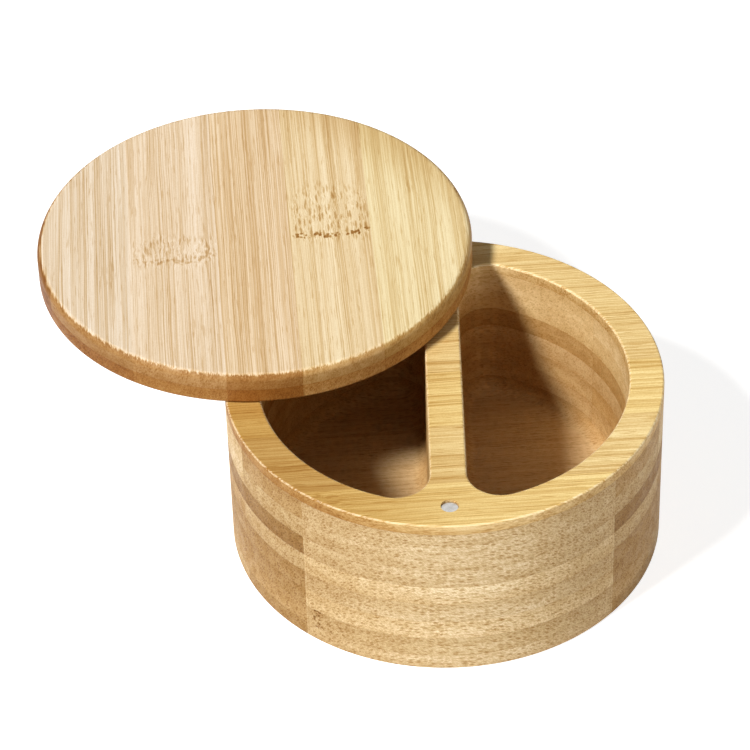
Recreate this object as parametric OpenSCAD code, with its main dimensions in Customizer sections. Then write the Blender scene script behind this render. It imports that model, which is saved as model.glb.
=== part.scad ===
// Round bamboo salt box. Two coved compartments are milled out of a block of
// glued plies, and one lid swivels over both of them on a bolt hidden at the
// back. A magnet in the rim and one in the lid hold it shut at the front.
// The origin is the centre of the underside. +Z is up, -Y is the front, and
// +X is on the right of someone who faces the front.

/* [Box] */
// Outside diameter of the box
box_d = 127; // [110:1:150]
// Thickness of each glued ply
ply_t = 6.7; // [5.6:0.1:7.6]
// Thickness of the top ply, once the rim is planed flat
rim_ply_t = 3.4; // [3.2:0.1:6]
// Thickness of the bottom ply, once the underside is planed flat
foot_ply_t = 5.3; // [5.1:0.1:7]
// Number of plies, the rim ply included
ply_count = 9; // [7:1:10]
// Radius of the eased outer edge of the rim
rim_edge_r = 0.7; // [0.3:0.1:1.5]
// Radius of the eased outer edge of the underside
foot_edge_r = 0.8; // [0.3:0.1:2]

/* [Compartments] */
// Thickness of the round wall
wall_t = 10.1; // [9:0.1:12]
// Width of the divider between the compartments
divider_w = 10.5; // [8:0.1:14]
// Plan radius where the divider runs into the wall
corner_r = 9.5; // [6:0.5:13]
// Thickness left under the compartments
floor_t = 7.4; // [7:0.1:11]
// Radius of the cove between the floor and the walls
cove_r = 4.5; // [2:0.5:5.5]
// Radius of the eased inner edge of the rim
lip_edge_r = 0.8; // [0.3:0.1:1.5]

/* [Lid] */
// How far the lid reaches past the box all round
lid_overhang = 1.5; // [0:0.1:4]
// Thickness of the lid's upper board
lid_top_t = 5; // [4.5:0.1:7]
// Thickness of the lid's lower board
lid_under_t = 4.7; // [4:0.1:6]
// Radius of the round-over on the lid's top edge
lid_round_r = 2.1; // [1:0.1:4]
// Radius of the eased lower edge of the lid
lid_ease_r = 0.8; // [0.3:0.1:1.5]
// Angle by which the lid stands open
open_angle = 90; // [0:5:180]

/* [Hinge] */
// Distance from the bolt's axis to the outside of the box
hinge_inset = 8.5; // [8:0.1:10]
// Diameter of the bolt
bolt_d = 5; // [4:0.5:6]
// Length of bolt that is screwed into the lid's insert
bolt_grip = 6; // [4:0.5:6.5]
// Diameter of the bolt's button head
bolt_head_d = 9.5; // [8:0.1:11]
// Height of the bolt's button head
bolt_head_h = 2.8; // [2.4:0.1:4]
// Depth of the head inside the underside
bolt_head_sink = 1; // [0.5:0.1:3]
// Width across the flats of the hex socket in the head
socket_w = 3; // [2:0.5:4]
// Depth of the hex socket
socket_t = 1.7; // [1:0.1:2]
// Outside diameter of the steel washer over the head
washer_d = 11; // [9:0.1:12]
// Thickness of the steel washer
washer_t = 1; // [0.6:0.1:1.6]
// Outside diameter of the slip washer between the rim and the lid
slip_d = 12; // [9:0.1:15]
// Thickness of the slip washer
slip_t = 0.4; // [0.3:0.1:1]
// Outside diameter of the threaded insert in the lid
insert_d = 7.6; // [7:0.1:9]
// Length of the threaded insert
insert_l = 7; // [6.5:0.1:7.5]
// Depth of the grooves round the insert
insert_groove_t = 0.4; // [0.1:0.1:0.4]

/* [Catch] */
// Distance from the magnets' axis to the outside of the box
magnet_inset = 8.3; // [6:0.1:10]
// Diameter of each magnet
magnet_d = 5; // [4:0.5:6]
// Thickness of each magnet
magnet_t = 2.5; // [1.5:0.5:3]
// Depth of the box's magnet below the rim
magnet_sink = 0.6; // [0.1:0.1:1]
// Depth of the lid's magnet inside the lid's underside
lid_magnet_sink = 0.3; // [0.1:0.1:1]

/* [Fits] */
// Radial clearance of the bolt in the box
bolt_clear = 0.06; // [0.02:0.01:0.1]
// Radial gap where the bolt is locked in the insert
thread_gap = 0.02; // [0.01:0.01:0.05]
// Gap at each washer that lets the lid turn
running_gap = 0.1; // [0.05:0.05:0.3]
// Radial gap between a washer and the bolt
washer_gap = 0.2; // [0.1:0.1:0.5]
// Radial gap round the washer in its counterbore
counterbore_gap = 0.8; // [0.3:0.1:1.5]
// Glue line round the magnets and the insert
glue_gap = 0.05; // [0.02:0.01:0.1]

/* [Hidden] */
$fn = 180;
// How far a cutting shape runs past what it cuts
over = 1;

box_r = box_d / 2;
bowl_r = box_r - wall_t;
rim_z = foot_ply_t + (ply_count - 2) * ply_t + rim_ply_t;

// The hinge bolt stands at the back of the divider, and the magnets meet at its front
hinge_y = box_r - hinge_inset;
magnet_y = magnet_inset - box_r;

// The lid rides on the slip washer
lid_r = box_r + lid_overhang;
lid_z = rim_z + slip_t + running_gap;
lid_t = lid_under_t + lid_top_t;

// The bolt's parts, from the underside up
bolt_neck_z = bolt_head_sink + bolt_head_h;
washer_z = bolt_neck_z + running_gap;
counterbore_z = washer_z + washer_t;
bolt_end_z = lid_z + bolt_grip;
bore_r = bolt_d / 2 + bolt_clear;
groove_count = 3;
// Share of the bolt head's height that is crowned, above a straight rim
crown_share = 0.8;

// Centre and direction of the rounded corner between the divider and the wall
corner_x = divider_w / 2 + corner_r;
corner_y = sqrt(pow(bowl_r - corner_r, 2) - pow(corner_x, 2));
corner_angle = atan2(corner_y, corner_x);

blond = [0.90, 0.76, 0.54];
straw = [0.82, 0.66, 0.43];
caramel = [0.71, 0.52, 0.31];
lid_cream = [0.93, 0.83, 0.68];
lid_honey = [0.70, 0.46, 0.22];
// Tone of each ply from the underside up, repeated where there are more
ply_tones = [caramel, straw, blond, caramel, blond, caramel, straw, blond, straw, blond];

ply_names = [for (n = [2:1:ply_count]) str("box_ply_", n)];

// Height at which a ply starts, counted from 1 at the underside
function ply_z(n) = n == 1 ? 0 : foot_ply_t + (n - 2) * ply_t;

function ply_h(n) = n == 1 ? foot_ply_t : n == ply_count ? rim_ply_t : ply_t;

function heading(angle) = [cos(angle), sin(angle)];

function rounded_down(v, step) = [for (x = v) step * floor(x / step)];

// Half section of a turned disc with its two outer edges eased
module disc_section(r, h, top_edge_r, under_edge_r) {
    difference() {
        square([r, h]);
        translate([r - top_edge_r, h - top_edge_r]) difference() {
            square(top_edge_r + over);
            circle(top_edge_r);
        }
        translate([r - under_edge_r, under_edge_r]) mirror([0, 1]) difference() {
            square(under_edge_r + over);
            circle(under_edge_r);
        }
    }
}

// What the cutter takes out between its axis and a wall at the given reach:
// a flat floor, a cove, a straight wall and an eased lip
module cutter_section(reach) {
    depth = rim_z + over - floor_t;
    translate([0, floor_t]) {
        square([reach - cove_r, depth]);
        translate([0, cove_r]) square([reach, depth - cove_r]);
        translate([reach - cove_r, cove_r]) intersection() {
            circle(cove_r);
            translate([0, -cove_r]) square(cove_r);
        }
    }
    translate([reach, rim_z - lip_edge_r]) difference() {
        square([lip_edge_r, lip_edge_r + over]);
        translate([lip_edge_r, 0]) circle(lip_edge_r);
    }
}

// Moves its children to the corner's centre in three steps, each finer than the last
module at_corner() {
    centre = [corner_x, corner_y, 0];
    coarse = rounded_down(centre, 1);
    fine = rounded_down(centre - coarse, 0.001);
    translate(coarse) translate(fine) translate(centre - coarse - fine) children();
}

// Prism over what the half round has beyond the corner's centre
module corner_wedge() {
    side = 3 * corner_r;
    at_corner() linear_extrude(rim_z + 2 * over) polygon([
        [0, 0], side * heading(180), side * heading((180 + corner_angle) / 2),
        side * heading(corner_angle)]);
}

// Round cut that touches both the divider's face and the round wall
module corner_cut() {
    at_corner() rotate_extrude() cutter_section(corner_r);
}

// Straight cut along the divider's face
module divider_cut() {
    translate([bowl_r, bowl_r, 0]) rotate([90, 0, 0]) mirror([1, 0, 0])
        linear_extrude(2 * bowl_r) cutter_section(bowl_r - divider_w / 2);
}

// The right-hand compartment: a half round with two rounded corners
module compartment() {
    difference() {
        intersection() {
            rotate_extrude() cutter_section(bowl_r);
            divider_cut();
        }
        corner_wedge();
        mirror([0, 1, 0]) corner_wedge();
    }
    corner_cut();
    mirror([0, 1, 0]) corner_cut();
}

// The glued block after milling and turning
module milled_block() {
    difference() {
        rotate_extrude() disc_section(box_r, rim_z, rim_edge_r, foot_edge_r);
        compartment();
        mirror([1, 0, 0]) compartment();
        translate([0, hinge_y, -over]) {
            cylinder(r = bore_r, h = rim_z + 2 * over);
            cylinder(r = washer_d / 2 + counterbore_gap, h = counterbore_z + over);
        }
        translate([0, magnet_y, rim_z - magnet_sink - magnet_t])
            cylinder(r = magnet_d / 2 + glue_gap, h = magnet_sink + magnet_t + over);
    }
}

// One ply of the milled block, counted from 1 at the underside
module box_ply(n) {
    color(ply_tones[(n - 1) % len(ply_tones)]) intersection() {
        milled_block();
        translate([0, 0, ply_z(n)]) cylinder(r = box_r + over, h = ply_h(n));
    }
}

module magnet() {
    color("silver") cylinder(d = magnet_d, h = magnet_t);
}

module rim_magnet() {
    translate([0, magnet_y, rim_z - magnet_sink - magnet_t]) magnet();
}

module washer(outer_d, thickness) {
    difference() {
        cylinder(d = outer_d, h = thickness);
        translate([0, 0, -over])
            cylinder(r = bolt_d / 2 + washer_gap, h = thickness + 2 * over);
    }
}

// Steel washer that spreads the bolt head's pull over the counterbore
module head_washer() {
    color("gainsboro") translate([0, hinge_y, washer_z]) washer(washer_d, washer_t);
}

// Nylon washer that the lid slides on
module slip_washer() {
    color("ivory") translate([0, hinge_y, rim_z]) washer(slip_d, slip_t);
}

// Moves a piece of the shut lid to where the open lid holds it
module on_lid() {
    translate([0, hinge_y, 0]) rotate([0, 0, -open_angle]) translate([0, -hinge_y, 0]) children();
}

// The shut lid after turning and drilling
module turned_lid() {
    difference() {
        translate([0, 0, lid_z]) rotate_extrude() disc_section(lid_r, lid_t, lid_round_r, lid_ease_r);
        translate([0, hinge_y, lid_z - over])
            cylinder(r = insert_d / 2 + glue_gap, h = insert_l + over);
        translate([0, magnet_y, lid_z - over])
            cylinder(r = magnet_d / 2 + glue_gap, h = lid_magnet_sink + magnet_t + over);
    }
}

module lid_under_board() {
    color(lid_honey) on_lid() intersection() {
        turned_lid();
        translate([0, 0, lid_z]) cylinder(r = lid_r + over, h = lid_under_t);
    }
}

module lid_top_board() {
    color(lid_cream) on_lid() intersection() {
        turned_lid();
        translate([0, 0, lid_z + lid_under_t]) cylinder(r = lid_r + over, h = lid_top_t);
    }
}

// Brass insert with grooves that key it into the glue
module lid_insert() {
    band = insert_l / (2 * groove_count + 1);
    color("goldenrod") translate([0, hinge_y, lid_z]) rotate_extrude() difference() {
        translate([bolt_d / 2 + thread_gap, 0])
            square([insert_d / 2 - bolt_d / 2 - thread_gap, insert_l]);
        for (k = [1:groove_count]) translate([insert_d / 2 - insert_groove_t, (2 * k - 1) * band])
            square([insert_groove_t + over, band]);
    }
}

// Button-head bolt that comes up through the box and is locked in the insert
module hinge_bolt() {
    color("silver") translate([0, hinge_y, 0]) difference() {
        union() {
            translate([0, 0, bolt_head_sink]) rotate_extrude() button_section();
            translate([0, 0, bolt_head_sink]) cylinder(d = bolt_d, h = bolt_end_z - bolt_head_sink);
        }
        translate([0, 0, bolt_head_sink - over])
            cylinder(d = socket_w / cos(30), h = socket_t + over, $fn = 6);
    }
}

// Half section of the button head, crowned towards the underside
module button_section() {
    rise = crown_share * bolt_head_h;
    crown_r = (pow(bolt_head_d / 2, 2) + pow(rise, 2)) / (2 * rise);
    intersection() {
        square([bolt_head_d / 2, bolt_head_h]);
        translate([0, crown_r]) circle(crown_r);
    }
}

module lid_magnet() {
    on_lid() translate([0, magnet_y, lid_z + lid_magnet_sink]) magnet();
}

box_ply(1);  // base_board
for (n = [2:1:ply_count]) box_ply(n);
rim_magnet();
head_washer();
slip_washer();
lid_under_board();
lid_top_board();
lid_insert();
hinge_bolt();
lid_magnet();
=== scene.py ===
import math

import bmesh
import bpy
from mathutils import Matrix, Vector


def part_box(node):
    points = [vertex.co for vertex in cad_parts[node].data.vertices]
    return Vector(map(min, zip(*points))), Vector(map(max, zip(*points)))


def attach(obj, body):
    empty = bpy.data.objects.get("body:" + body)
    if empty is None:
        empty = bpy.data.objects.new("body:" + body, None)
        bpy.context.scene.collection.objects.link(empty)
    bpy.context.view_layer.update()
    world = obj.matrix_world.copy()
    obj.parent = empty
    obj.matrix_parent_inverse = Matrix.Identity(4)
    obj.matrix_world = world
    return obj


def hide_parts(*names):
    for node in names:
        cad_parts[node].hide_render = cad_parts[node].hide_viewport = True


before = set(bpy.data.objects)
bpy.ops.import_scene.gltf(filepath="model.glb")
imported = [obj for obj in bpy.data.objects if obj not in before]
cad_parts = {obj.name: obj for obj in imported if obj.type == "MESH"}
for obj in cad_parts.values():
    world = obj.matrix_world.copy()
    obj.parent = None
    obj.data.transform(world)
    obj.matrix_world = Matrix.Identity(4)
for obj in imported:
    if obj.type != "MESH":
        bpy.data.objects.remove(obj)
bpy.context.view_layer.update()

MM = 0.001

# Heights of the nine plies of the box, from the underside up
PLY_NODES = ["base_board"] + [f"box_ply_{n}" for n in range(2, 10)]
ply_low = [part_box(name)[0].z for name in PLY_NODES]
ply_high = [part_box(name)[1].z for name in PLY_NODES]
rim_z = ply_high[-1]

# The turned block
mid_low, mid_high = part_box("box_ply_5")
box_r = max(mid_high.x - mid_low.x, mid_high.y - mid_low.y) / 2
wall_t = 10.1 * MM
bowl_r = box_r - wall_t
rim_edge_r = 0.7 * MM
foot_edge_r = 0.8 * MM
lip_edge_r = 0.8 * MM

# The two compartments
divider_w = 10.5 * MM
corner_r = 9.5 * MM
cove_r = 4.5 * MM
floor_z = 7.4 * MM
corner_x = divider_w / 2 + corner_r
corner_y = math.sqrt((bowl_r - corner_r) ** 2 - corner_x ** 2)
corner_turn = math.atan2(corner_y, corner_x)

# The lid, which rests open at the back left
lid_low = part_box("lid_under_board")[0].z
lid_glue_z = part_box("lid_under_board")[1].z
lid_corner, lid_far_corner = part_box("lid_top_board")
lid_high = lid_far_corner.z
lid_centre = (lid_corner + lid_far_corner) / 2
lid_r = (lid_far_corner.x - lid_corner.x) / 2
lid_round_r = 2.1 * MM
lid_ease_r = 0.8 * MM

# The swivel bolt and what sits on it
bolt_low, bolt_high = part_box("hinge_bolt")
bolt_x = (bolt_low.x + bolt_high.x) / 2
bolt_y = (bolt_low.y + bolt_high.y) / 2
bolt_head_r = (bolt_high.x - bolt_low.x) / 2
bolt_r = 2.5 * MM
bolt_head_h = 2.8 * MM
bolt_crown_h = 2.24 * MM
socket_r = 1.73 * MM
socket_deep = 1.7 * MM
bore_r = bolt_r + 0.06 * MM
washer_low, washer_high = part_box("head_washer")
washer_r = (washer_high.x - washer_low.x) / 2
washer_hole_r = bolt_r + 0.2 * MM
counterbore_r = washer_r + 0.8 * MM
slip_low, slip_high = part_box("slip_washer")
slip_r = (slip_high.x - slip_low.x) / 2
insert_low, insert_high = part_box("lid_insert")
insert_r = (insert_high.x - insert_low.x) / 2
insert_groove = 0.4 * MM

# The pair of magnets that holds the lid shut
rim_magnet_low, rim_magnet_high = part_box("rim_magnet")
lid_magnet_low, lid_magnet_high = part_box("lid_magnet")
magnet_r = (rim_magnet_high.x - rim_magnet_low.x) / 2
glue_gap = 0.05 * MM

# How finely round shapes are cut, and how far a cutter runs past the wood
ROUND_STEPS = 288
BOWL_STEPS = 112
CORNER_STEPS = 24
over = 1 * MM
glue_line = 0.03 * MM
hair = 0.005 * MM


def pick_up(piece):
    """Makes the piece the only one selected."""
    if bpy.context.mode != "OBJECT":
        bpy.ops.object.mode_set(mode="OBJECT")
    bpy.ops.object.select_all(action="DESELECT")
    piece.select_set(True)
    bpy.context.view_layer.objects.active = piece


def clear_bench():
    """Deselects everything, so that what is added next stands alone."""
    if bpy.context.mode != "OBJECT":
        bpy.ops.object.mode_set(mode="OBJECT")
    bpy.ops.object.select_all(action="DESELECT")


def settle(name):
    """Names the piece just added and moves its place into its mesh."""
    piece = bpy.context.object
    piece.name = name
    piece.data.name = name
    pick_up(piece)
    bpy.ops.object.transform_apply(location=True, rotation=True, scale=True)
    return piece


def work_on(piece, by="EDGE"):
    """Opens the piece's mesh with nothing selected."""
    pick_up(piece)
    bpy.ops.object.mode_set(mode="EDIT")
    bpy.ops.mesh.select_mode(type=by)
    bpy.ops.mesh.select_all(action="DESELECT")


def close_mesh(piece):
    """Turns all faces outwards and leaves the mesh."""
    bpy.ops.mesh.select_mode(type="FACE")
    bpy.ops.mesh.select_all(action="SELECT")
    bpy.ops.mesh.normals_make_consistent(inside=False)
    bpy.ops.object.mode_set(mode="OBJECT")


def choose_edges(piece, wanted):
    """Selects the edges of the open mesh for which wanted(edge) is true."""
    bpy.ops.mesh.select_mode(type="EDGE")
    bpy.ops.mesh.select_all(action="DESELECT")
    mesh = bmesh.from_edit_mesh(piece.data)
    for edge in mesh.edges:
        if wanted(edge):
            edge.select_set(True)
    bmesh.update_edit_mesh(piece.data)


def at_height(z):
    """A test for edges that lie in the level plane at z."""
    return lambda edge: all(abs(v.co.z - z) < hair for v in edge.verts)


def rim_at_height(z):
    """A test for edges at z where a level face meets an upright one."""
    level = at_height(z)
    return lambda edge: level(edge) and len(edge.link_faces) == 2 and edge.calc_face_angle() > 1


def round_over(piece, wanted, radius, steps):
    """Rounds the edges for which wanted(edge) is true."""
    choose_edges(piece, wanted)
    bpy.ops.mesh.bevel(offset=radius, offset_type="OFFSET", segments=steps, profile=0.5, affect="EDGES")


def disc(name, radius, low, high, x=0.0, y=0.0, steps=ROUND_STEPS):
    """A plain turned blank between two heights."""
    clear_bench()
    bpy.ops.mesh.primitive_cylinder_add(
        vertices=steps, radius=radius, depth=high - low, location=(x, y, (low + high) / 2))
    return settle(name)


def cut_away(piece, cutter):
    """Takes the cutter's shape out of the piece, and throws the cutter away."""
    pick_up(piece)
    bite = piece.modifiers.new("cut", "BOOLEAN")
    bite.operation = "DIFFERENCE"
    bite.solver = "EXACT"
    bite.object = cutter
    bpy.ops.object.modifier_apply(modifier="cut")
    bpy.data.objects.remove(cutter)


def copy_of(piece, name):
    """A copy of the piece with its own mesh."""
    twin = piece.copy()
    twin.data = piece.data.copy()
    twin.name = name
    twin.data.name = name
    bpy.context.scene.collection.objects.link(twin)
    return twin


def slice_between(piece, low, high):
    """Saws the piece off level at two heights and keeps what is between."""
    heights = [vertex.co.z for vertex in piece.data.vertices]
    work_on(piece)
    for z, keeps_above in ((low, True), (high, False)):
        if z < min(heights) + hair or z > max(heights) - hair:
            continue
        bpy.ops.mesh.select_all(action="SELECT")
        bpy.ops.mesh.bisect(
            plane_co=(0, 0, z), plane_no=(0, 0, 1), use_fill=True, threshold=hair,
            clear_inner=keeps_above, clear_outer=not keeps_above)


def sand(piece, sharpest=35):
    """Shades the piece smooth, apart from its sharp edges."""
    pick_up(piece)
    bpy.ops.object.shade_smooth_by_angle(angle=math.radians(sharpest))
    even = piece.modifiers.new("even", "WEIGHTED_NORMAL")
    even.keep_sharp = True
    bpy.ops.object.modifier_apply(modifier="even")


def turned(name, outline, x, y, steps):
    """A piece turned on the lathe from an outline of (radius, height) points round an upright axis."""
    clear_bench()
    first_r, first_z = outline[0]
    bpy.ops.mesh.primitive_plane_add(size=MM, location=(x + first_r, y, first_z))
    piece = settle(name)
    work_on(piece, "VERT")
    bpy.ops.mesh.select_all(action="SELECT")
    bpy.ops.mesh.merge(type="CENTER")
    here_r, here_z = first_r, first_z
    for r, z in outline[1:]:
        bpy.ops.mesh.extrude_vertices_move(
            TRANSFORM_OT_translate={"value": (r - here_r, 0, z - here_z)})
        here_r, here_z = r, z
    bpy.ops.mesh.select_all(action="SELECT")
    bpy.ops.mesh.spin(steps=steps, angle=2 * math.pi, center=(x, y, 0), axis=(0, 0, 1))
    bpy.ops.mesh.select_all(action="SELECT")
    bpy.ops.mesh.remove_doubles(threshold=0.002 * MM)
    close_mesh(piece)
    return piece


# The box


def compartment_cutter():
    """What the mill takes out for the right-hand compartment: a half round with two turned corners."""
    clear_bench()
    bpy.ops.mesh.primitive_plane_add(size=MM, location=(divider_w / 2, -corner_y, floor_z))
    cutter = settle("cutter")
    work_on(cutter, "VERT")
    bpy.ops.mesh.select_all(action="SELECT")
    bpy.ops.mesh.merge(type="CENTER")
    bpy.ops.mesh.extrude_vertices_move(TRANSFORM_OT_translate={"value": (0, 2 * corner_y, 0)})
    corner_sweep = math.pi - corner_turn
    for steps, sweep, centre_x, centre_y in (
            (CORNER_STEPS, corner_sweep, corner_x, corner_y),
            (BOWL_STEPS, 2 * corner_turn, 0, 0),
            (CORNER_STEPS, corner_sweep, corner_x, -corner_y)):
        bpy.ops.mesh.spin(
            steps=steps, angle=sweep, center=(centre_x, centre_y, floor_z), axis=(0, 0, 1))
    bpy.ops.mesh.select_all(action="SELECT")
    bpy.ops.mesh.remove_doubles(threshold=0.01 * MM)
    bpy.ops.mesh.select_all(action="SELECT")
    bpy.ops.mesh.edge_face_add()
    bpy.ops.mesh.extrude_region_move(
        TRANSFORM_OT_translate={"value": (0, 0, rim_z + over - floor_z)})
    round_over(cutter, at_height(floor_z), cove_r, 10)
    close_mesh(cutter)
    return cutter


def milled_block():
    """The glued block after turning, milling and drilling."""
    block = disc("block", box_r, 0, rim_z)
    work_on(block)
    round_over(block, at_height(rim_z), rim_edge_r, 5)
    round_over(block, at_height(0), foot_edge_r, 4)
    close_mesh(block)
    right = compartment_cutter()
    left = copy_of(right, "left_cutter")
    left.rotation_euler.z = math.pi
    pick_up(left)
    bpy.ops.object.transform_apply(location=True, rotation=True, scale=True)
    cut_away(block, right)
    cut_away(block, left)
    work_on(block)
    round_over(block, rim_at_height(rim_z), lip_edge_r, 5)
    close_mesh(block)
    cut_away(block, disc("bore", bore_r, -over, rim_z + over, bolt_x, bolt_y, 48))
    cut_away(block, disc("counterbore", counterbore_r, -over, washer_high.z, bolt_x, bolt_y, 72))
    magnet_y = (rim_magnet_low.y + rim_magnet_high.y) / 2
    cut_away(block, disc(
        "pocket", magnet_r + glue_gap, rim_magnet_low.z, rim_z + over, 0, magnet_y, 64))
    return block


def box_plies():
    """The nine plies, each sawn from the block with a hair-fine glue line at its faces."""
    block = milled_block()
    plies = []
    for index, (low, high) in enumerate(zip(ply_low, ply_high)):
        ply = copy_of(block, f"bamboo_ply_{index + 1}")
        slice_between(ply, low, high)
        if low > hair:
            round_over(ply, rim_at_height(low), glue_line, 1)
        if high < rim_z - hair:
            round_over(ply, rim_at_height(high), glue_line, 1)
        close_mesh(ply)
        sand(ply)
        plies.append(ply)
    bpy.data.objects.remove(block)
    return plies


# The lid


def lid_boards():
    """The two boards of the lid, turned and drilled together and parted at the glue line."""
    lid = disc("lid", lid_r, lid_low, lid_high, lid_centre.x, lid_centre.y)
    work_on(lid)
    round_over(lid, at_height(lid_high), lid_round_r, 10)
    round_over(lid, at_height(lid_low), lid_ease_r, 5)
    close_mesh(lid)
    cut_away(lid, disc(
        "insert_hole", insert_r + glue_gap, lid_low - over, insert_high.z, bolt_x, bolt_y, 64))
    magnet_x = (lid_magnet_low.x + lid_magnet_high.x) / 2
    magnet_y = (lid_magnet_low.y + lid_magnet_high.y) / 2
    cut_away(lid, disc(
        "pocket", magnet_r + glue_gap, lid_low - over, lid_magnet_high.z, magnet_x, magnet_y, 64))
    boards = []
    for name, low, high in (
            ("bamboo_lid_under", lid_low, lid_glue_z), ("bamboo_lid_top", lid_glue_z, lid_high)):
        board = copy_of(lid, name)
        slice_between(board, low, high)
        round_over(board, rim_at_height(lid_glue_z), glue_line, 1)
        close_mesh(board)
        sand(board)
        boards.append(board)
    bpy.data.objects.remove(lid)
    return boards


# The metal and nylon parts


def magnet(name, low, high):
    """A nickel-plated disc magnet with ground edges."""
    x = (low.x + high.x) / 2
    y = (low.y + high.y) / 2
    piece = disc(name, magnet_r, low.z, high.z, x, y, 64)
    work_on(piece)
    round_over(piece, at_height(low.z), 0.18 * MM, 3)
    round_over(piece, at_height(high.z), 0.18 * MM, 3)
    close_mesh(piece)
    sand(piece)
    return piece


def washer(name, low, high, outer_r, hole_r, edge):
    """A flat washer with both faces eased."""
    outline = [
        (hole_r, low + edge), (hole_r + edge, low), (outer_r - edge, low), (outer_r, low + edge),
        (outer_r, high - edge), (outer_r - edge, high), (hole_r + edge, high),
        (hole_r, high - edge), (hole_r, low + edge)]
    piece = turned(name, outline, bolt_x, bolt_y, 72)
    sand(piece)
    return piece


def swivel_bolt():
    """A button-head bolt with a hexagon socket, its head in the underside of the box."""
    crown_r = (bolt_head_r ** 2 + bolt_crown_h ** 2) / (2 * bolt_crown_h)
    crown_turn = math.asin(bolt_head_r / crown_r)
    head_low = bolt_low.z
    crown = [
        (crown_r * math.sin(turn), head_low + crown_r * (1 - math.cos(turn)))
        for turn in (crown_turn * step / 8 for step in range(9))]
    neck_z = head_low + bolt_head_h
    end_ease = 0.4 * MM
    edge = 0.1 * MM
    outline = crown + [
        (bolt_head_r, neck_z - edge), (bolt_head_r - edge, neck_z), (bolt_r, neck_z),
        (bolt_r, bolt_high.z - end_ease), (bolt_r - end_ease, bolt_high.z), (0, bolt_high.z)]
    bolt = turned("swivel_bolt", outline, bolt_x, bolt_y, 72)
    cut_away(bolt, disc(
        "socket", socket_r, head_low - over, head_low + socket_deep, bolt_x, bolt_y, 6))
    sand(bolt)
    return bolt


def thread_insert():
    """The brass insert that holds the bolt's end, with three grooves that key it into the glue."""
    band = (insert_high.z - insert_low.z) / 7
    hole_r = bolt_r + 0.02 * MM
    outline = [(hole_r, insert_low.z)]
    for step in range(7):
        reach = insert_r if step % 2 == 0 else insert_r - insert_groove
        outline.append((reach, insert_low.z + step * band))
        outline.append((reach, insert_low.z + (step + 1) * band))
    outline += [(hole_r, insert_high.z), (hole_r, insert_low.z)]
    piece = turned("thread_insert", outline, bolt_x, bolt_y, 64)
    sand(piece)
    return piece


# Node sheets


def add(tree, kind, feed=(), **settings):
    """Adds a node, and feeds its inputs, in order or by name, with values or other outputs."""
    made = tree.nodes.new(kind)
    for name, value in settings.items():
        setattr(made, name, value)
    pairs = feed.items() if isinstance(feed, dict) else enumerate(feed)
    for key, value in pairs:
        if isinstance(value, bpy.types.NodeSocket):
            tree.links.new(value, made.inputs[key])
        elif value is not None:
            made.inputs[key].default_value = value
    return made


def calc(tree, operation, *values):
    """One step of arithmetic."""
    return add(tree, "ShaderNodeMath", values, operation=operation).outputs[0]


def ramp_between(tree, value, low, high, to_low=0.0, to_high=1.0):
    """A soft step from low to high."""
    made = add(tree, "ShaderNodeMapRange", {
        "Value": value, "From Min": low, "From Max": high, "To Min": to_low, "To Max": to_high},
        interpolation_type="SMOOTHSTEP")
    return made.outputs["Result"]


def blend_colour(tree, amount, first, second, mode="MIX"):
    """Mixes two colours."""
    made = add(tree, "ShaderNodeMix", {0: amount, 6: first, 7: second},
               data_type="RGBA", blend_type=mode, clamp_factor=True)
    return made.outputs[2]


def stretched(tree, vector, x, y, z):
    """The vector with each direction scaled by itself."""
    return add(tree, "ShaderNodeVectorMath", (vector, (x, y, z)), operation="MULTIPLY").outputs[0]


def moved(tree, vector, shift):
    """The vector with a shift added."""
    return add(tree, "ShaderNodeVectorMath", (vector, shift), operation="ADD").outputs[0]


def noise(tree, vector, scale, detail):
    """Cloudy noise, stretched by a scale for each direction."""
    return add(tree, "ShaderNodeTexNoise", {
        "Vector": stretched(tree, vector, *scale), "Scale": 1.0, "Detail": detail, "Roughness": 0.6})


def centred(tree, cloud):
    """The noise's colour as a vector that swings both ways round nought."""
    return add(tree, "ShaderNodeVectorMath", (cloud.outputs["Color"], (0.5, 0.5, 0.5)),
               operation="SUBTRACT").outputs[0]


def blank_material(name):
    """A named material with an empty node sheet."""
    material = bpy.data.materials.new(name)
    material.use_nodes = True
    material.node_tree.nodes.clear()
    return material, material.node_tree


def cover(tree, shader, kind="ShaderNodeOutputMaterial"):
    """Makes the shader the surface of the material or the world."""
    output = add(tree, kind)
    tree.links.new(shader.outputs[0], output.inputs["Surface"])


def seen_directly(tree):
    """One for the camera, mirrors and glass, and nought for the light that falls on the object."""
    ray = add(tree, "ShaderNodeLightPath")
    seen = calc(tree, "MAXIMUM", ray.outputs["Is Camera Ray"], ray.outputs["Is Glossy Ray"])
    return calc(tree, "MAXIMUM", seen, ray.outputs["Is Transmission Ray"])


def feed_group(tree, placed, values):
    """Sets or links a placed group's inputs by name."""
    for label, value in values.items():
        if isinstance(value, bpy.types.NodeSocket):
            tree.links.new(value, placed.inputs[label])
        else:
            placed.inputs[label].default_value = value


def new_group(name, inputs, outputs):
    """A named group with its input and output sockets."""
    group = bpy.data.node_groups.new(name, "ShaderNodeTree")
    for label, kind, value in inputs:
        socket = group.interface.new_socket(name=label, in_out="INPUT", socket_type=kind)
        socket.default_value = value
    for label, kind in outputs:
        group.interface.new_socket(name=label, in_out="OUTPUT", socket_type=kind)
    start = group.nodes.new("NodeGroupInput")
    end = group.nodes.new("NodeGroupOutput")
    return group, start.outputs, end.inputs


NUMBER = "NodeSocketFloat"
VECTOR = "NodeSocketVector"
COLOUR = "NodeSocketColor"


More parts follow.
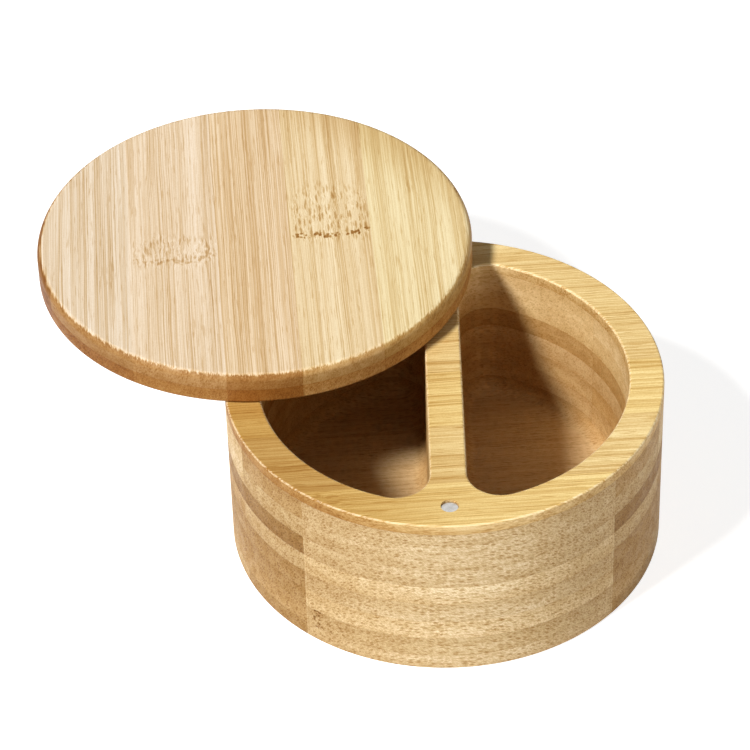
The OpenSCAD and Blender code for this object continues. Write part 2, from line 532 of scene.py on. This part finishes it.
def fibre_group():
    """Bamboo fibres that run along the first direction of a vector in millimetres."""
    group, given, out = new_group(
        "bamboo_fibres",
        [("Vector", VECTOR, (0, 0, 0)), ("Seed", NUMBER, 0.0), ("Swirl", NUMBER, 0.0),
         ("Bundle Size", NUMBER, 0.42), ("Bundle Length", NUMBER, 320.0)],
        [("Bundles", NUMBER), ("Streaks", NUMBER), ("Fine", NUMBER), ("Specks", NUMBER),
         ("Vessels", NUMBER), ("Height", NUMBER)])
    shift = add(group, "ShaderNodeCombineXYZ", (
        calc(group, "MULTIPLY", given["Seed"], 37.0), calc(group, "MULTIPLY", given["Seed"], 11.3),
        calc(group, "MULTIPLY", given["Seed"], 5.7))).outputs[0]
    place = moved(group, given["Vector"], shift)
    # The fibres wander a little along the cane, and twist round a knuckle
    wander = noise(group, place, (1 / 60, 1 / 12, 1 / 12), 1.0)
    place = moved(group, place, stretched(group, centred(group, wander), 0.0, 1.2, 1.2))
    ripple = noise(group, place, (1 / 18, 1 / 4, 1 / 4), 1.0)
    place = moved(group, place, stretched(group, centred(group, ripple), 0.0, 0.35, 0.35))
    twist = noise(group, place, (1 / 3.4, 1 / 2.2, 1 / 2.2), 1.0)
    twist = add(group, "ShaderNodeVectorMath", {0: centred(group, twist), "Scale": given["Swirl"]},
                operation="SCALE").outputs[0]
    place = moved(group, place, twist)
    # Bundles stand in slanting rows across the cane
    split = add(group, "ShaderNodeSeparateXYZ", (place,)).outputs
    slanted = calc(group, "MULTIPLY_ADD", split["Z"], 0.42, split["Y"])
    lengths = calc(group, "DIVIDE", split["X"], given["Bundle Length"])
    rows = add(group, "ShaderNodeCombineXYZ", (lengths, slanted, split["Z"])).outputs[0]
    bundles = add(group, "ShaderNodeTexVoronoi", {
        "Vector": stretched(group, rows, 1.0, 1 / 0.56, 1 / 1.1), "Scale": 1.0,
        "Randomness": 0.75}, voronoi_dimensions="3D", feature="F1").outputs
    size = given["Bundle Size"]
    mask = ramp_between(group, bundles["Distance"], calc(group, "MULTIPLY", size, 0.35), size, 1.0, 0.0)
    own_tone = add(group, "ShaderNodeSeparateColor", (bundles["Color"],)).outputs[0]
    mask = calc(group, "MULTIPLY", mask, ramp_between(group, own_tone, 0.0, 0.8, 0.3, 1.0))
    group.links.new(mask, out["Bundles"])
    streaks = noise(group, place, (1 / 260, 1 / 3.2, 1 / 3.2), 2.0).outputs["Fac"]
    streaks = ramp_between(group, streaks, 0.3, 0.7)
    group.links.new(streaks, out["Streaks"])
    # Dark lines crowd together in some places and leave others calm
    fine = noise(group, place, (1 / 120, 1 / 0.36, 1 / 0.5), 2.0).outputs["Fac"]
    fine = ramp_between(group, fine, 0.34, 0.68)
    fine = calc(group, "MULTIPLY", fine, calc(group, "MULTIPLY_ADD", streaks, 1.1, 0.45))
    group.links.new(fine, out["Fine"])
    # Short flecks where the saw and the sander crossed the fibres
    split = add(group, "ShaderNodeSeparateXYZ", (place,)).outputs
    leaning = calc(group, "MULTIPLY_ADD", split["Z"], 0.9, split["X"])
    leaning = add(group, "ShaderNodeCombineXYZ", (leaning, split["Y"], split["Z"])).outputs[0]
    specks = noise(group, leaning, (1 / 0.5, 1 / 0.3, 1 / 0.6), 1.0).outputs["Fac"]
    group.links.new(ramp_between(group, specks, 0.38, 0.62), out["Specks"])
    # A few open vessels show as dark dashes along the cane
    vessels = noise(group, place, (1 / 8, 1 / 0.42, 1 / 0.42), 1.0).outputs["Fac"]
    group.links.new(ramp_between(group, vessels, 0.6, 0.7), out["Vessels"])
    height = calc(group, "MULTIPLY_ADD", mask, -0.7, fine)
    group.links.new(height, out["Height"])
    return group


def knuckle_group():
    """A joint of the cane: a row of dark flecks across a strip, with short dashes beside it."""
    group, given, out = new_group(
        "bamboo_knuckle",
        [("Vector", VECTOR, (0, 0, 0)), ("Row", NUMBER, 0.0), ("Strip Low", NUMBER, 0.0),
         ("Strip High", NUMBER, 24.0), ("Dash Reach", NUMBER, 20.0), ("Row Width", NUMBER, 1.6)],
        [("Patch", NUMBER), ("Dashes", NUMBER), ("Row", NUMBER)])
    vector = given["Vector"]
    shaken = noise(group, vector, (0.12, 0.16, 0.16), 1.0)
    shaken = stretched(group, centred(group, shaken), 5.0, 2.4, 2.4)
    split = add(group, "ShaderNodeSeparateXYZ", (moved(group, vector, shaken),)).outputs
    from_low = ramp_between(group, calc(group, "SUBTRACT", split["Y"], given["Strip Low"]), -0.6, 1.6)
    from_high = ramp_between(group, calc(group, "SUBTRACT", given["Strip High"], split["Y"]), -0.6, 1.6)
    strip = calc(group, "MULTIPLY", from_low, from_high)
    # The row bows towards the middle of the strip
    middle = calc(group, "MULTIPLY", calc(group, "ADD", given["Strip Low"], given["Strip High"]), 0.5)
    off_middle = calc(group, "DIVIDE", calc(group, "SUBTRACT", split["Y"], middle), 12.0)
    bow = calc(group, "MULTIPLY", calc(group, "MULTIPLY", off_middle, off_middle), 2.0)
    along = calc(group, "SUBTRACT", calc(group, "SUBTRACT", split["X"], given["Row"]), bow)
    away = calc(group, "ABSOLUTE", along)
    row = ramp_between(group, calc(group, "DIVIDE", away, given["Row Width"]), 0.4, 1.0, 1.0, 0.0)
    before = ramp_between(group, along, -5.0, -0.5)
    # The dashes reach furthest there too, so that their ends make a dome
    lower = calc(group, "MULTIPLY", calc(group, "MULTIPLY", off_middle, off_middle), 0.25)
    reach = calc(group, "MULTIPLY", given["Dash Reach"], calc(group, "SUBTRACT", 1.0, lower))
    after = ramp_between(group, calc(group, "DIVIDE", along, reach), 0.6, 1.0, 1.0, 0.0)
    patch = calc(group, "MULTIPLY", calc(group, "MULTIPLY", before, after), strip)
    group.links.new(patch, out["Patch"])
    twist = noise(group, vector, (1 / 2.6, 1 / 1.9, 1 / 1.9), 2.0)
    bent = moved(group, vector, stretched(group, centred(group, twist), 1.4, 0.8, 0.8))
    dashes = add(group, "ShaderNodeTexVoronoi", {
        "Vector": stretched(group, bent, 1 / 5.6, 1 / 0.9, 1 / 1.2), "Scale": 1.0,
        "Randomness": 0.9}, voronoi_dimensions="3D", feature="F1").outputs["Distance"]
    dashes = ramp_between(group, dashes, 0.2, 0.48, 1.0, 0.0)
    group.links.new(calc(group, "MULTIPLY", dashes, patch), out["Dashes"])
    flecks = add(group, "ShaderNodeTexVoronoi", {
        "Vector": stretched(group, bent, 1 / 1.5, 1 / 1.1, 1 / 1.1), "Scale": 1.0,
        "Randomness": 1.0}, voronoi_dimensions="3D", feature="F1").outputs["Distance"]
    flecks = ramp_between(group, flecks, 0.32, 0.6, 1.0, 0.0)
    row = calc(group, "MULTIPLY", calc(group, "MULTIPLY", row, strip), flecks)
    group.links.new(row, out["Row"])
    return group


def joint_group():
    """The fine glue lines between strips and between plies, and the number of the strip."""
    group, given, out = new_group(
        "glue_lines",
        [("Across", NUMBER, 0.0), ("Height", NUMBER, 0.0), ("First Joint", NUMBER, 0.0),
         ("Strip Width", NUMBER, 24.0), ("Ply Low", NUMBER, 0.0), ("Ply High", NUMBER, 6.7),
         ("Skin Side", NUMBER, 1.0)],
        [("Lines", NUMBER), ("Strip", NUMBER), ("Skin", NUMBER)])
    share = calc(group, "DIVIDE", calc(group, "SUBTRACT", given["Across"], given["First Joint"]),
                 given["Strip Width"])
    group.links.new(calc(group, "FLOOR", share), out["Strip"])
    near = calc(group, "ABSOLUTE", calc(group, "SUBTRACT", share, calc(group, "ROUND", share)))
    near_mm = calc(group, "MULTIPLY", near, given["Strip Width"])
    side_line = ramp_between(group, near_mm, 0.03, 0.2, 1.0, 0.0)
    above = calc(group, "SUBTRACT", given["Height"], given["Ply Low"])
    below = calc(group, "SUBTRACT", given["Ply High"], given["Height"])
    near_face = calc(group, "ABSOLUTE", calc(group, "MINIMUM", above, below))
    level_line = ramp_between(group, near_face, 0.03, 0.28, 1.0, 0.0)
    group.links.new(calc(group, "MAXIMUM", side_line, level_line), out["Lines"])
    # Fibres crowd towards the face that was the cane's skin
    thick = calc(group, "ADD", above, below)
    up = calc(group, "DIVIDE", above, thick)
    down = calc(group, "DIVIDE", below, thick)
    faces_up = calc(group, "GREATER_THAN", given["Skin Side"], 0.0)
    skin = add(group, "ShaderNodeMix", {0: faces_up, 2: down, 3: up}, data_type="FLOAT").outputs[0]
    group.links.new(skin, out["Skin"])
    return group


def stain_group():
    """Darkens a colour towards steamed brown, as a deeper layer of the same wood would."""
    group, given, out = new_group(
        "stain",
        [("Ground", COLOUR, (1, 1, 1, 1)), ("Depth", NUMBER, 0.0), ("Green Kept", NUMBER, 0.39),
         ("Blue Kept", NUMBER, 0.25)],
        [("Colour", COLOUR)])
    passed = [
        calc(group, "POWER", 0.5, given["Depth"]),
        calc(group, "POWER", given["Green Kept"], given["Depth"]),
        calc(group, "POWER", given["Blue Kept"], given["Depth"])]
    tint = add(group, "ShaderNodeCombineColor", passed).outputs[0]
    group.links.new(blend_colour(group, 1.0, given["Ground"], tint, "MULTIPLY"), out["Colour"])
    return group


def edge_group():
    """Eased edges made paler than the faces beside them: partly sanded wood, partly a painted
    highlight.
    """
    group, given, out = new_group(
        "eased_edges_highlight",
        [("Colour", COLOUR, (1, 1, 1, 1)), ("Normal", VECTOR, (0, 0, 1)), ("Amount", NUMBER, 0.5)],
        [("Colour", COLOUR), ("Edge", NUMBER)])
    tilt = add(group, "ShaderNodeSeparateXYZ", (given["Normal"],)).outputs["Z"]
    up = calc(group, "MULTIPLY", tilt, tilt)
    edge = calc(group, "MULTIPLY", up, calc(group, "SUBTRACT", 1.0, up))
    edge = ramp_between(group, edge, 0.04, 0.2)
    paler = blend_colour(group, 0.55, given["Colour"], (0.96, 0.84, 0.6, 1.0))
    amount = calc(group, "MULTIPLY", edge, given["Amount"])
    group.links.new(blend_colour(group, amount, given["Colour"], paler), out["Colour"])
    group.links.new(edge, out["Edge"])
    return group


def paint(red, green, blue, end=0.3):
    """A colour as mixed on screen, 0 to 255, made linear, and how much deeper its ends are; on the lid,
    how much deeper its round-over and sides are, partly as painted shade.
    """
    def linear(value):
        share = value / 255
        return share / 12.92 if share <= 0.04045 else ((share + 0.055) / 1.055) ** 2.4
    return (linear(red), linear(green), linear(blue), end)


# Ground tones of bamboo strips, from pale to steamed brown
TONES = {
    "pale": paint(252, 240, 214),
    "cream": paint(245, 228, 194),
    "straw": paint(234, 216, 182),
    "tan": paint(225, 205, 167),
    "caramel": paint(212, 185, 138),
    "brown": paint(198, 169, 120),
    "umber": paint(180, 148, 96),
    "gold": paint(252, 232, 178),
    "honey": paint(255, 234, 172),
}

# Strips of each ply from the front to the back, where 24 mm strips meet,
# and whether the cane's skin side faces up or down
STRIP_JOINTS = [-46.2, -22.2, 1.8, 25.8, 49.8]
PLY_STRIPS = [
    ["straw", "brown", "tan", "caramel", "straw", "tan"],
    ["tan", "caramel", "caramel", "straw", "tan", "caramel"],
    ["cream", "brown", "brown", "tan", "straw", "tan"],
    ["straw", "brown", "brown", "caramel", "tan", "straw"],
    ["cream", "tan", "caramel", "straw", "cream", "tan"],
    ["straw", "umber", "umber", "brown", "caramel", "tan"],
    ["straw", "tan", "pale", "straw", "cream", "straw"],
    ["straw", "caramel", "cream", "pale", "cream", "pale"],
    ["honey", "gold", "honey", "gold", "gold", "gold"],
]
PLY_SKINS = [-1, 1, 1, 1, -1, -1, -1, 1, -1]


def strip_ramp(tree, across, joints, colours):
    """The ground colour of each strip, by its place across the grain."""
    low = joints[0] - 40
    high = joints[-1] + 40
    share = add(tree, "ShaderNodeMapRange", {
        "Value": across, "From Min": low, "From Max": high}).outputs["Result"]
    ramp = add(tree, "ShaderNodeValToRGB", (share,))
    ramp.color_ramp.interpolation = "CONSTANT"
    stops = ramp.color_ramp.elements
    stops[0].position = 0.0
    stops[0].color = colours[0]
    stops[1].position = (joints[0] - low) / (high - low)
    stops[1].color = colours[1]
    for joint, colour in zip(joints[1:], colours[2:]):
        stop = stops.new((joint - low) / (high - low))
        stop.color = colour
    return ramp.outputs["Color"], ramp.outputs["Alpha"]


def bamboo(name, fibre_angle, joints, colours, seed, low_mm, high_mm, skin=1, knuckles=(),
           bundle_size=0.56, bundle_length=2.2, bundle_depth=0.56, fleck_depth=0.3,
           line_depth=0.15, vessel_depth=0.34, kept=(0.365, 0.21), all_round=False, edge_wear_and_highlight=0.6,
           tone_drift_and_painted_light=None, side_tint=None, inside_tint_and_shade=None):
    """Oiled bamboo with its fibres at an angle to the X direction."""
    material, tree = blank_material(name)
    place = add(tree, "ShaderNodeTexCoord").outputs
    fibre_place = add(tree, "ShaderNodeMapping", {
        "Vector": place["Object"], "Rotation": (0, 0, -fibre_angle),
        "Scale": (1000, 1000, 1000)}).outputs["Vector"]
    split = add(tree, "ShaderNodeSeparateXYZ", (fibre_place,)).outputs
    end_grain = add(tree, "ShaderNodeVectorMath", (
        place["Normal"], (math.cos(fibre_angle), math.sin(fibre_angle), 0)), operation="DOT_PRODUCT")
    end_grain = calc(tree, "ABSOLUTE", end_grain.outputs["Value"])

    lines = add(tree, "ShaderNodeGroup", node_tree=GROUPS["glue_lines"])
    feed_group(tree, lines, {
        "Across": split["Y"], "Height": split["Z"], "First Joint": joints[0],
        "Strip Width": (joints[-1] - joints[0]) / (len(joints) - 1), "Ply Low": low_mm,
        "Ply High": high_mm, "Skin Side": skin})
    ground, end_and_shade_depth = strip_ramp(tree, split["Y"], joints, colours)
    if side_tint:
        # Sanded across the fibres, the sides come out duller than the top
        upright = add(tree, "ShaderNodeSeparateXYZ", (place["Normal"],)).outputs["Z"]
        upright = ramp_between(tree, calc(tree, "ABSOLUTE", upright), 0.1, 0.8, 1.0, 0.0)
        ground = blend_colour(tree, upright, ground, side_tint)
    if inside_tint_and_shade:
        # The compartments are burnished and oiled, warmer than the outside; the darker tint given to
        # the lower plies is painted shade deep in the bowls
        radius = stretched(tree, place["Object"], 1000, 1000, 0)
        radius = add(tree, "ShaderNodeVectorMath", (radius,), operation="LENGTH").outputs["Value"]
        bowl_mm = bowl_r / MM
        inside = ramp_between(tree, radius, bowl_mm + 0.6, bowl_mm + 2.1, 1.0, 0.0)
        ground = blend_colour(tree, calc(tree, "MULTIPLY", inside, 0.6), ground, inside_tint_and_shade)
        fleck_depth = calc(tree, "MULTIPLY_ADD", inside, -0.2, fleck_depth)
        bundle_depth = calc(tree, "MULTIPLY_ADD", inside, -0.3, bundle_depth)
        edge_wear_and_highlight = calc(tree, "MULTIPLY_ADD", inside, -edge_wear_and_highlight, edge_wear_and_highlight)

    fibres = add(tree, "ShaderNodeGroup", node_tree=GROUPS["bamboo_fibres"])
    feed_group(tree, fibres, {
        "Vector": fibre_place, "Bundle Size": bundle_size, "Bundle Length": bundle_length,
        "Seed": calc(tree, "MULTIPLY_ADD", lines.outputs["Strip"], 3.1, seed)})

    # How deep the brown goes, from all that darkens the wood
    depth = calc(tree, "MULTIPLY", fibres.outputs["Streaks"], 0.12)
    depth = calc(tree, "MULTIPLY_ADD", fibres.outputs["Fine"], line_depth, depth)
    depth = calc(tree, "MULTIPLY_ADD", fibres.outputs["Specks"], fleck_depth, depth)
    depth = calc(tree, "MULTIPLY_ADD", fibres.outputs["Vessels"], vessel_depth, depth)
    depth = calc(tree, "MULTIPLY_ADD", fibres.outputs["Bundles"], bundle_depth, depth)
    skin_shade = ramp_between(tree, lines.outputs["Skin"], 0.25, 1.0)
    depth = calc(tree, "MULTIPLY_ADD", skin_shade, 0.14, depth)
    end_grain_and_painted_shade = ramp_between(tree, end_grain, 0.05, 0.7)
    if all_round:
        # The round-over cuts the fibres aslant, so the brown starts in a comb of short ticks; the brown
        # over the lid's round-over and sides is partly the cut fibres' tone and partly painted shade
        level = add(tree, "ShaderNodeSeparateXYZ", (place["Normal"],)).outputs["Z"]
        tilt = calc(tree, "SUBTRACT", 1.0, calc(tree, "ABSOLUTE", level))
        comb = calc(tree, "MULTIPLY_ADD", fibres.outputs["Fine"], 1.2, 0.85)
        end_grain_and_painted_shade = ramp_between(tree, calc(tree, "MULTIPLY", tilt, comb), 0.02, 0.36)
    depth = calc(tree, "MULTIPLY_ADD", end_grain_and_painted_shade, end_and_shade_depth, depth)
    depth = calc(tree, "MULTIPLY_ADD", lines.outputs["Lines"], 0.14, depth)
    if tone_drift_and_painted_light:
        # A slow change of tone along the cane, as start, end, slant and the depth at both; on the rim
        # it is painted shade at the left end and a painted sheen at the right
        low, high, slant, depth_low, depth_high = tone_drift_and_painted_light
        way = calc(tree, "MULTIPLY_ADD", split["Y"], slant, split["X"])
        depth = calc(tree, "ADD", ramp_between(tree, way, low, high, depth_low, depth_high), depth)
    swirl = None
    for row, strip_low, strip_high, reach, strength, row_depth in knuckles:
        knuckle = add(tree, "ShaderNodeGroup", node_tree=GROUPS["bamboo_knuckle"])
        feed_group(tree, knuckle, {
            "Vector": fibre_place, "Row": row, "Strip Low": strip_low, "Strip High": strip_high,
            "Dash Reach": reach})
        patch = knuckle.outputs["Patch"]
        depth = calc(tree, "MULTIPLY_ADD", knuckle.outputs["Dashes"], 0.62 * strength, depth)
        depth = calc(tree, "MULTIPLY_ADD", knuckle.outputs["Row"], row_depth, depth)
        depth = calc(tree, "MULTIPLY_ADD", patch, -0.03, depth)
        swirl = patch if swirl is None else calc(tree, "MAXIMUM", swirl, patch)
    if swirl is not None:
        tree.links.new(calc(tree, "MULTIPLY", swirl, 1.4), fibres.inputs["Swirl"])
    stain = add(tree, "ShaderNodeGroup", node_tree=GROUPS["stain"])
    feed_group(tree, stain, {
        "Ground": ground, "Depth": depth, "Green Kept": kept[0], "Blue Kept": kept[1]})
    # The painted highlight and sanded paleness on an edge break up where the fibres tore
    whole = calc(tree, "SUBTRACT", 1.0, fibres.outputs["Fine"])
    wear_and_highlight = calc(tree, "MULTIPLY", whole, edge_wear_and_highlight)
    edges = add(tree, "ShaderNodeGroup", node_tree=GROUPS["eased_edges_highlight"])
    feed_group(tree, edges, {
        "Colour": stain.outputs["Colour"], "Normal": place["Normal"], "Amount": wear_and_highlight})
    colour = edges.outputs["Colour"]

    rough = ramp_between(tree, fibres.outputs["Streaks"], 0.0, 1.0, 0.46, 0.58)
    bump = add(tree, "ShaderNodeBump", {
        "Strength": 0.25, "Distance": 0.0001, "Height": fibres.outputs["Height"]})
    shader = add(tree, "ShaderNodeBsdfPrincipled", {
        "Base Color": colour, "Roughness": rough, "Normal": bump.outputs["Normal"],
        "IOR": 1.45, "Specular IOR Level": 0.16})
    cover(tree, shader)
    return material


def metal(name, colour, roughness, grain, stretch):
    """Plated or turned metal with fine rubbing marks."""
    material, tree = blank_material(name)
    place = add(tree, "ShaderNodeTexCoord").outputs["Object"]
    marks = add(tree, "ShaderNodeTexNoise", {
        "Vector": stretched(tree, place, *stretch), "Scale": grain, "Detail": 2.0})
    rough = ramp_between(tree, marks.outputs["Fac"], 0.3, 0.7, roughness * 0.85, roughness * 1.2)
    dull = blend_colour(tree, 1.0, colour, paint(232, 230, 228), "MULTIPLY")
    tint = blend_colour(tree, ramp_between(tree, marks.outputs["Fac"], 0.35, 0.75), colour, dull)
    bump = add(tree, "ShaderNodeBump", {
        "Strength": 0.05, "Distance": 0.00002, "Height": marks.outputs["Fac"]})
    shader = add(tree, "ShaderNodeBsdfPrincipled", {
        "Base Color": tint, "Roughness": rough, "Metallic": 1.0, "Normal": bump.outputs["Normal"]})
    cover(tree, shader)
    return material


def nylon():
    """Natural nylon, faintly mottled."""
    material, tree = blank_material("natural_nylon")
    place = add(tree, "ShaderNodeTexCoord").outputs["Object"]
    mottle = add(tree, "ShaderNodeTexNoise", {"Vector": place, "Scale": 900.0, "Detail": 3.0})
    tint = blend_colour(tree, mottle.outputs["Fac"], paint(240, 237, 226), paint(226, 221, 206))
    bump = add(tree, "ShaderNodeBump", {
        "Strength": 0.1, "Distance": 0.00003, "Height": mottle.outputs["Fac"]})
    shader = add(tree, "ShaderNodeBsdfPrincipled", {
        "Base Color": tint, "Roughness": ramp_between(tree, mottle.outputs["Fac"], 0.2, 0.8, 0.4, 0.5),
        "Normal": bump.outputs["Normal"]})
    cover(tree, shader)
    return material


def finish_piece(piece, material, body, slot, *nodes):
    """Gives the piece its finish and its place on the object."""
    piece.data.materials.clear()
    piece.data.materials.append(material)
    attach(piece, body)
    if nodes:
        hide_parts(*nodes)


GROUPS = {
    "bamboo_fibres": fibre_group(),
    "bamboo_knuckle": knuckle_group(),
    "glue_lines": joint_group(),
    "stain": stain_group(),
    "eased_edges_highlight": edge_group(),
}

BOX_FIBRES = math.radians(3.5)
LID_FIBRES = math.radians(93.5)

PLY_SLOTS = [
    "bamboo_caramel", "bamboo_straw", "bamboo_blond", "bamboo_caramel", "bamboo_blond",
    "bamboo_caramel", "bamboo_straw", "bamboo_blond", "bamboo_rim"]

# Knuckles as the place of the row along the fibres, the edges of its strip,
# the reach of the dashes, and how deep the dashes and the row are
PLY_KNUCKLES = {
    2: [(-41.5, -64.0, -46.2, 13.0, 1.0, 1.1)],
    3: [(-9.0, -64.0, -46.2, 8.0, 0.8, 0.4), (6.0, -64.0, -46.2, 7.0, 0.8, 0.4)],
    9: [(-41.0, -64.0, -46.2, 12.0, 0.4, 0.3)],
}

UPPER_WALL = paint(255, 229, 176)
# Painted shade: the compartment walls of the lower plies get this darker tint
SHADED_LOWER_WALL = paint(214, 176, 120)

for index, ply in enumerate(box_plies()):
    number = index + 1
    looks = {"inside_tint_and_shade": UPPER_WALL if number > 6 else SHADED_LOWER_WALL}
    if number == 9:
        # On the rim, the drift of tone is painted shade at the left end and a painted sheen at the
        # right, and the paler eased edges are partly a painted highlight
        looks = {
            "bundle_length": 60.0, "bundle_depth": 0.3, "fleck_depth": 0.1, "line_depth": 0.35,
            "kept": (0.34, 0.17), "tone_drift_and_painted_light": (-63.0, 20.0, 0.0, 0.56, -0.1),
            "side_tint": paint(236, 212, 164), "edge_wear_and_highlight": 0.9}
    wood = bamboo(
        f"bamboo_ply_{number}", BOX_FIBRES, STRIP_JOINTS,
        [TONES[tone] for tone in PLY_STRIPS[index]], 4.7 * index + 1.3,
        ply_low[index] / MM, ply_high[index] / MM, skin=PLY_SKINS[index],
        knuckles=PLY_KNUCKLES.get(number, ()), **looks)
    finish_piece(ply, wood, "box", PLY_SLOTS[index], PLY_NODES[index])

LID_JOINTS = [-7.2, 16.7, 40.3, 62.4, 88.5, 112.4]
# On both lid boards, the last number of each strip's paint sets how far its round-over and sides go
# brown: partly the fibres' own tone, partly painted shade
lid_under, lid_top = lid_boards()
top_wood = bamboo(
    "bamboo_lid_top", LID_FIBRES, LID_JOINTS,
    # The paler, bluer grounds of the last strips, at the lid's left, are partly a painted sheen
    [paint(255, 246, 212, 0.9), paint(255, 246, 212, 0.95), paint(255, 243, 216, 0.85),
     paint(255, 241, 222, 1.35), paint(255, 244, 232, 1.1), paint(255, 248, 242, 1.3),
     paint(255, 249, 244, 1.9)],
    31.0, lid_glue_z / MM, lid_high / MM, skin=-1,
    knuckles=[(56.0, 16.7, 40.3, 30.0, 1.0, 1.3), (48.0, 62.4, 88.5, 15.0, 0.65, 0.35)],
    bundle_length=320.0, bundle_depth=0.32, fleck_depth=0.06, line_depth=0.27, vessel_depth=0.24,
    kept=(0.34, 0.17), all_round=True, edge_wear_and_highlight=0.0, tone_drift_and_painted_light=(66.0, 102.0, -1.0, 0.0, 0.34))
under_wood = bamboo(
    "bamboo_lid_under", LID_FIBRES, LID_JOINTS,
    [paint(252, 230, 188, 0.95), paint(248, 222, 178, 0.95), paint(250, 226, 186, 0.8),
     paint(248, 220, 176, 1.4), paint(252, 232, 196, 1.15), paint(250, 228, 194, 1.4),
     paint(252, 230, 198, 1.8)],
    47.0, lid_low / MM, lid_glue_z / MM, bundle_length=40.0, fleck_depth=0.2, line_depth=0.26,
    kept=(0.34, 0.17), all_round=True, edge_wear_and_highlight=0.0)
finish_piece(lid_under, under_wood, "lid", "lid_honey", "lid_under_board")
finish_piece(lid_top, top_wood, "lid", "lid_cream", "lid_top_board")

nickel = metal("nickel_plate", paint(214, 212, 208), 0.24, 900.0, (1, 1, 1))
steel = metal("zinc_steel", paint(196, 197, 200), 0.34, 700.0, (1, 1, 1))
brass = metal("turned_brass", paint(214, 178, 104), 0.3, 500.0, (1, 1, 6))
white_nylon = nylon()

finish_piece(magnet("rim_magnet_disc", rim_magnet_low, rim_magnet_high), nickel, "box",
             "magnet_nickel", "rim_magnet")
finish_piece(magnet("lid_magnet_disc", lid_magnet_low, lid_magnet_high), nickel, "lid",
             "magnet_nickel", "lid_magnet")
finish_piece(washer("bolt_washer", washer_low.z, washer_high.z, washer_r, washer_hole_r, 0.08 * MM),
             steel, "box", "steel", "head_washer")
finish_piece(washer("swivel_washer", slip_low.z, slip_high.z, slip_r, washer_hole_r, 0.05 * MM),
             white_nylon, "box", "nylon", "slip_washer")
finish_piece(swivel_bolt(), steel, "lid", "steel", "hinge_bolt")
finish_piece(thread_insert(), brass, "lid", "brass", "lid_insert")


# The studio


def studio_floor():
    """A broad white sweep that stays white to the camera and keeps a soft shadow."""
    floor_width = 6.0
    clear_bench()
    bpy.ops.mesh.primitive_plane_add(size=floor_width, location=(0, 0, 0))
    floor = settle("studio_floor")
    work_on(floor, "FACE")
    bpy.ops.mesh.select_all(action="SELECT")
    bpy.ops.mesh.subdivide(number_cuts=3)
    bpy.ops.object.mode_set(mode="OBJECT")
    material, tree = blank_material("studio_white")
    matt = add(tree, "ShaderNodeBsdfDiffuse", {"Color": (0.7, 0.7, 0.7, 1.0)})
    glow = add(tree, "ShaderNodeEmission", {
        "Color": (1.0, 1.0, 1.0, 1.0), "Strength": calc(tree, "MULTIPLY", seen_directly(tree), 0.8)})
    cover(tree, add(tree, "ShaderNodeAddShader", (matt.outputs[0], glow.outputs[0])))
    floor.data.materials.append(material)


def studio_light():
    """A key from the upper left, a low fill from the right and dim white walls all round."""
    world = bpy.data.worlds.new("studio_walls")
    bpy.context.scene.world = world
    world.use_nodes = True
    sheet = world.node_tree
    sheet.nodes.clear()
    wall_light = 0.12
    shown = calc(sheet, "MULTIPLY", seen_directly(sheet), 1.0 - wall_light)
    level = calc(sheet, "ADD", wall_light, shown)
    glow = add(sheet, "ShaderNodeBackground", {"Color": (1.0, 1.0, 1.0, 1.0), "Strength": level})
    cover(sheet, glow, "ShaderNodeOutputWorld")
    for name, energy, spread, comes_from in (
            ("key", 4.1, 10, (-0.76, -0.56, 1.0)), ("right_fill", 1.7, 30, (0.95, -0.8, 0.02))):
        light = bpy.data.lights.new(name, "SUN")
        light.energy = energy
        light.angle = math.radians(spread)
        light.color = (1.0, 0.985, 0.96)
        lamp = bpy.data.objects.new(name, light)
        bpy.context.scene.collection.objects.link(lamp)
        lamp.rotation_euler = Vector(comes_from).to_track_quat("Z", "Y").to_euler()


def photo_camera():
    """The camera at the photograph's height, distance and slight roll."""
    data = bpy.data.cameras.new("camera")
    data.sensor_fit = "HORIZONTAL"
    data.sensor_width = 36.0
    data.lens = 170.65
    data.clip_end = 20.0
    camera = bpy.data.objects.new("camera", data)
    bpy.context.scene.collection.objects.link(camera)
    heading = Matrix.Rotation(math.radians(0.3026), 4, "Z")
    pitch = Matrix.Rotation(math.radians(90 - 40.5537), 4, "X")
    roll = Matrix.Rotation(math.radians(-1.7046), 4, "Z")
    place = Matrix.Translation((-15.8 * MM, -779.4 * MM, 723.7 * MM))
    camera.matrix_world = place @ heading @ pitch @ roll
    bpy.context.scene.camera = camera


studio_floor()
studio_light()
photo_camera()
bpy.context.scene.view_settings.view_transform = "Standard"
